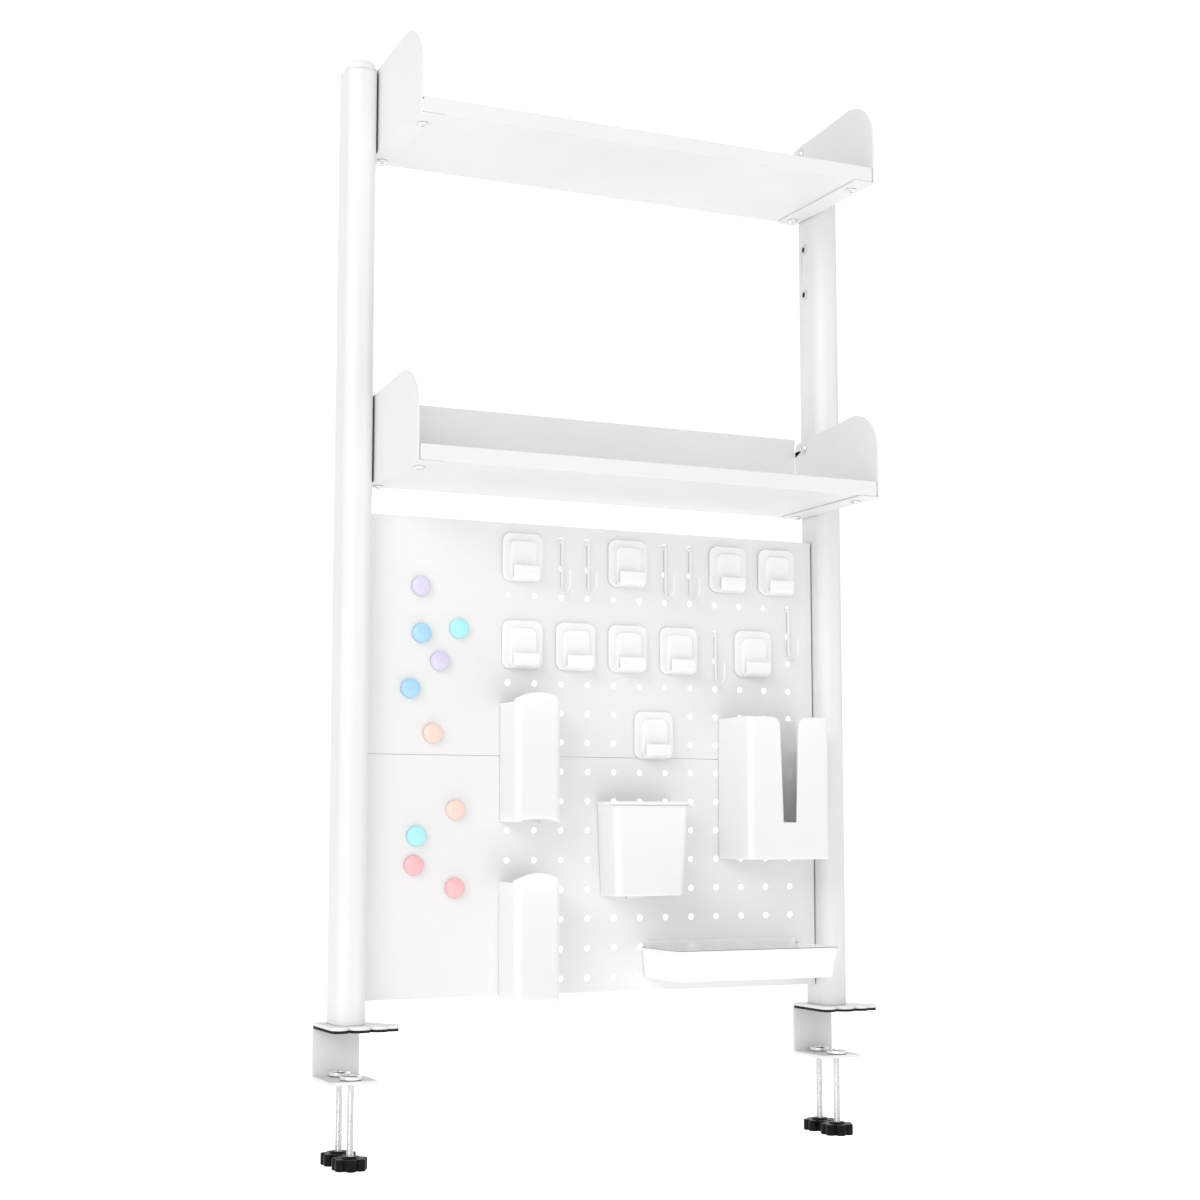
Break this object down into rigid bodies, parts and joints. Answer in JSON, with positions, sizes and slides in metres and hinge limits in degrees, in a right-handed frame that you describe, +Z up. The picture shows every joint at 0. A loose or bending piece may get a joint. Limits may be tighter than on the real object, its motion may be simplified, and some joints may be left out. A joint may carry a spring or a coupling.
{
  "type": "pegboard tool wall",
  "caption": "White desk-clamp tool wall with two shelves over a steel pegboard carrying hooks, bins, a pen cup, a dispenser and coloured magnets",
  "frame": {"origin": "Midway between the posts, on the post centre plane, at the top surface of the desk that the clamps grip, which is the plane of both rubber pads.", "axes": "+Z up along the posts; the wall faces -Y, so +X is to the right of a person at the desk; the desk lies towards -Y from the clamp webs."},
  "size_m": [0.509, 0.1486, 0.916],
  "materials": {
    "white_powder_coat": "satin white powder coat with a fine orange-peel texture",
    "white_plastic": "satin moulded white plastic",
    "white_coated_wire": "white dip-coated steel wire",
    "zinc_steel": "bright zinc-plated steel",
    "black_knob_plastic": "black glass-filled plastic",
    "black_rubber": "black anti-slip rubber",
    "magnet_lilac": "lilac plastic cap",
    "magnet_blue": "light blue plastic cap",
    "magnet_cyan": "cyan plastic cap",
    "magnet_orange": "pale orange plastic cap",
    "magnet_pink": "pink plastic cap"
  },
  "bodies": {
    "frame": {"post_left": "white_powder_coat", "post_right": "white_powder_coat", "post_caps": "white_plastic", "post_feet": "zinc_steel", "post_foot_screws": "zinc_steel", "rivet_nuts": "zinc_steel", "panel_upper": "white_powder_coat", "panel_lower": "white_powder_coat", "panel_screws": "zinc_steel", "tray_upper": "white_powder_coat", "tray_lower": "white_powder_coat", "tray_screws": "zinc_steel", "side_upper_left": "white_powder_coat", "side_upper_right": "white_powder_coat", "side_lower_left": "white_powder_coat", "side_lower_right": "white_powder_coat", "side_screws": "zinc_steel", "clamp_left": "white_powder_coat", "clamp_right": "white_powder_coat", "anti_slip_pads": "black_rubber"},
    "pressure_left_rear": {"disc_left_rear": "zinc_steel"},
    "screw_left_rear": {"rod_left_rear": "zinc_steel", "knob_left_rear": "black_knob_plastic"},
    "pressure_left_front": {"disc_left_front": "zinc_steel"},
    "screw_left_front": {"rod_left_front": "zinc_steel", "knob_left_front": "black_knob_plastic"},
    "pressure_right_rear": {"disc_right_rear": "zinc_steel"},
    "screw_right_rear": {"rod_right_rear": "zinc_steel", "knob_right_rear": "black_knob_plastic"},
    "pressure_right_front": {"disc_right_front": "zinc_steel"},
    "screw_right_front": {"rod_right_front": "zinc_steel", "knob_right_front": "black_knob_plastic"},
    "holder_upper_body": {"holder_upper": "white_plastic"},
    "holder_lower_body": {"holder_lower": "white_plastic"},
    "pen_cup_body": {"pen_cup": "white_plastic"},
    "dispenser_box_body": {"dispenser_box": "white_plastic"},
    "tool_tray_body": {"tool_tray": "white_plastic"},
    "wire_hooks_body": {"wire_hooks": "white_coated_wire"},
    "plate_hook_1_body": {"plate_hook_1": "white_plastic"},
    "plate_hook_2_body": {"plate_hook_2": "white_plastic"},
    "plate_hook_3_body": {"plate_hook_3": "white_plastic"},
    "plate_hook_4_body": {"plate_hook_4": "white_plastic"},
    "plate_hook_5_body": {"plate_hook_5": "white_plastic"},
    "plate_hook_6_body": {"plate_hook_6": "white_plastic"},
    "plate_hook_7_body": {"plate_hook_7": "white_plastic"},
    "plate_hook_8_body": {"plate_hook_8": "white_plastic"},
    "plate_hook_9_body": {"plate_hook_9": "white_plastic"},
    "plate_hook_10_body": {"plate_hook_10": "white_plastic"},
    "magnet_lilac_1_body": {"magnet_lilac_1": "magnet_lilac"},
    "magnet_lilac_2_body": {"magnet_lilac_2": "magnet_lilac"},
    "magnet_blue_1_body": {"magnet_blue_1": "magnet_blue"},
    "magnet_blue_2_body": {"magnet_blue_2": "magnet_blue"},
    "magnet_cyan_1_body": {"magnet_cyan_1": "magnet_cyan"},
    "magnet_cyan_2_body": {"magnet_cyan_2": "magnet_cyan"},
    "magnet_orange_1_body": {"magnet_orange_1": "magnet_orange"},
    "magnet_orange_2_body": {"magnet_orange_2": "magnet_orange"},
    "magnet_pink_1_body": {"magnet_pink_1": "magnet_pink"},
    "magnet_pink_2_body": {"magnet_pink_2": "magnet_pink"}
  },
  "joints": [
    {"name": "rise_left_rear", "type": "slide", "parent": "frame", "child": "pressure_left_rear", "axis": [0, 0, 1], "range_m": [0, 0.028]},
    {"name": "turn_left_rear", "type": "hinge", "parent": "pressure_left_rear", "child": "screw_left_rear", "pos_m": [-0.226, 0.0144, -0.0375], "axis": [0, 0, 1], "range_deg": [0, 10080]},
    {"name": "rise_left_front", "type": "slide", "parent": "frame", "child": "pressure_left_front", "axis": [0, 0, 1], "range_m": [0, 0.028]},
    {"name": "turn_left_front", "type": "hinge", "parent": "pressure_left_front", "child": "screw_left_front", "pos_m": [-0.226, -0.0152, -0.0375], "axis": [0, 0, 1], "range_deg": [0, 10080]},
    {"name": "rise_right_rear", "type": "slide", "parent": "frame", "child": "pressure_right_rear", "axis": [0, 0, 1], "range_m": [0, 0.028]},
    {"name": "turn_right_rear", "type": "hinge", "parent": "pressure_right_rear", "child": "screw_right_rear", "pos_m": [0.226, 0.0144, -0.0375], "axis": [0, 0, 1], "range_deg": [0, 10080]},
    {"name": "rise_right_front", "type": "slide", "parent": "frame", "child": "pressure_right_front", "axis": [0, 0, 1], "range_m": [0, 0.028]},
    {"name": "turn_right_front", "type": "hinge", "parent": "pressure_right_front", "child": "screw_right_front", "pos_m": [0.226, -0.0152, -0.0375], "axis": [0, 0, 1], "range_deg": [0, 10080]},
    {"name": "off_holder_upper_body", "type": "slide", "parent": "frame", "child": "holder_upper_body", "axis": [0, -1, 0], "range_m": [0, 0.12]},
    {"name": "off_holder_lower_body", "type": "slide", "parent": "frame", "child": "holder_lower_body", "axis": [0, -1, 0], "range_m": [0, 0.12]},
    {"name": "off_pen_cup_body", "type": "slide", "parent": "frame", "child": "pen_cup_body", "axis": [0, -1, 0], "range_m": [0, 0.12]},
    {"name": "off_dispenser_box_body", "type": "slide", "parent": "frame", "child": "dispenser_box_body", "axis": [0, -1, 0], "range_m": [0, 0.12]},
    {"name": "off_tool_tray_body", "type": "slide", "parent": "frame", "child": "tool_tray_body", "axis": [0, -1, 0], "range_m": [0, 0.12]},
    {"name": "off_wire_hooks_body", "type": "slide", "parent": "frame", "child": "wire_hooks_body", "axis": [0, -1, 0], "range_m": [0, 0.12]},
    {"name": "off_plate_hook_1_body", "type": "slide", "parent": "frame", "child": "plate_hook_1_body", "axis": [0, -1, 0], "range_m": [0, 0.12]},
    {"name": "off_plate_hook_2_body", "type": "slide", "parent": "frame", "child": "plate_hook_2_body", "axis": [0, -1, 0], "range_m": [0, 0.12]},
    {"name": "off_plate_hook_3_body", "type": "slide", "parent": "frame", "child": "plate_hook_3_body", "axis": [0, -1, 0], "range_m": [0, 0.12]},
    {"name": "off_plate_hook_4_body", "type": "slide", "parent": "frame", "child": "plate_hook_4_body", "axis": [0, -1, 0], "range_m": [0, 0.12]},
    {"name": "off_plate_hook_5_body", "type": "slide", "parent": "frame", "child": "plate_hook_5_body", "axis": [0, -1, 0], "range_m": [0, 0.12]},
    {"name": "off_plate_hook_6_body", "type": "slide", "parent": "frame", "child": "plate_hook_6_body", "axis": [0, -1, 0], "range_m": [0, 0.12]},
    {"name": "off_plate_hook_7_body", "type": "slide", "parent": "frame", "child": "plate_hook_7_body", "axis": [0, -1, 0], "range_m": [0, 0.12]},
    {"name": "off_plate_hook_8_body", "type": "slide", "parent": "frame", "child": "plate_hook_8_body", "axis": [0, -1, 0], "range_m": [0, 0.12]},
    {"name": "off_plate_hook_9_body", "type": "slide", "parent": "frame", "child": "plate_hook_9_body", "axis": [0, -1, 0], "range_m": [0, 0.12]},
    {"name": "off_plate_hook_10_body", "type": "slide", "parent": "frame", "child": "plate_hook_10_body", "axis": [0, -1, 0], "range_m": [0, 0.12]},
    {"name": "off_magnet_lilac_1_body", "type": "slide", "parent": "frame", "child": "magnet_lilac_1_body", "axis": [0, -1, 0], "range_m": [0, 0.12]},
    {"name": "off_magnet_lilac_2_body", "type": "slide", "parent": "frame", "child": "magnet_lilac_2_body", "axis": [0, -1, 0], "range_m": [0, 0.12]},
    {"name": "off_magnet_blue_1_body", "type": "slide", "parent": "frame", "child": "magnet_blue_1_body", "axis": [0, -1, 0], "range_m": [0, 0.12]},
    {"name": "off_magnet_blue_2_body", "type": "slide", "parent": "frame", "child": "magnet_blue_2_body", "axis": [0, -1, 0], "range_m": [0, 0.12]},
    {"name": "off_magnet_cyan_1_body", "type": "slide", "parent": "frame", "child": "magnet_cyan_1_body", "axis": [0, -1, 0], "range_m": [0, 0.12]},
    {"name": "off_magnet_cyan_2_body", "type": "slide", "parent": "frame", "child": "magnet_cyan_2_body", "axis": [0, -1, 0], "range_m": [0, 0.12]},
    {"name": "off_magnet_orange_1_body", "type": "slide", "parent": "frame", "child": "magnet_orange_1_body", "axis": [0, -1, 0], "range_m": [0, 0.12]},
    {"name": "off_magnet_orange_2_body", "type": "slide", "parent": "frame", "child": "magnet_orange_2_body", "axis": [0, -1, 0], "range_m": [0, 0.12]},
    {"name": "off_magnet_pink_1_body", "type": "slide", "parent": "frame", "child": "magnet_pink_1_body", "axis": [0, -1, 0], "range_m": [0, 0.12]},
    {"name": "off_magnet_pink_2_body", "type": "slide", "parent": "frame", "child": "magnet_pink_2_body", "axis": [0, -1, 0], "range_m": [0, 0.12]}
  ],
  "couplings": [
    {"joint": "turn_left_rear", "follows": "rise_left_rear", "rad_per_m": 6283.2},
    {"joint": "turn_left_front", "follows": "rise_left_front", "rad_per_m": 6283.2},
    {"joint": "turn_right_rear", "follows": "rise_right_rear", "rad_per_m": 6283.2},
    {"joint": "turn_right_front", "follows": "rise_right_front", "rad_per_m": 6283.2}
  ]
}
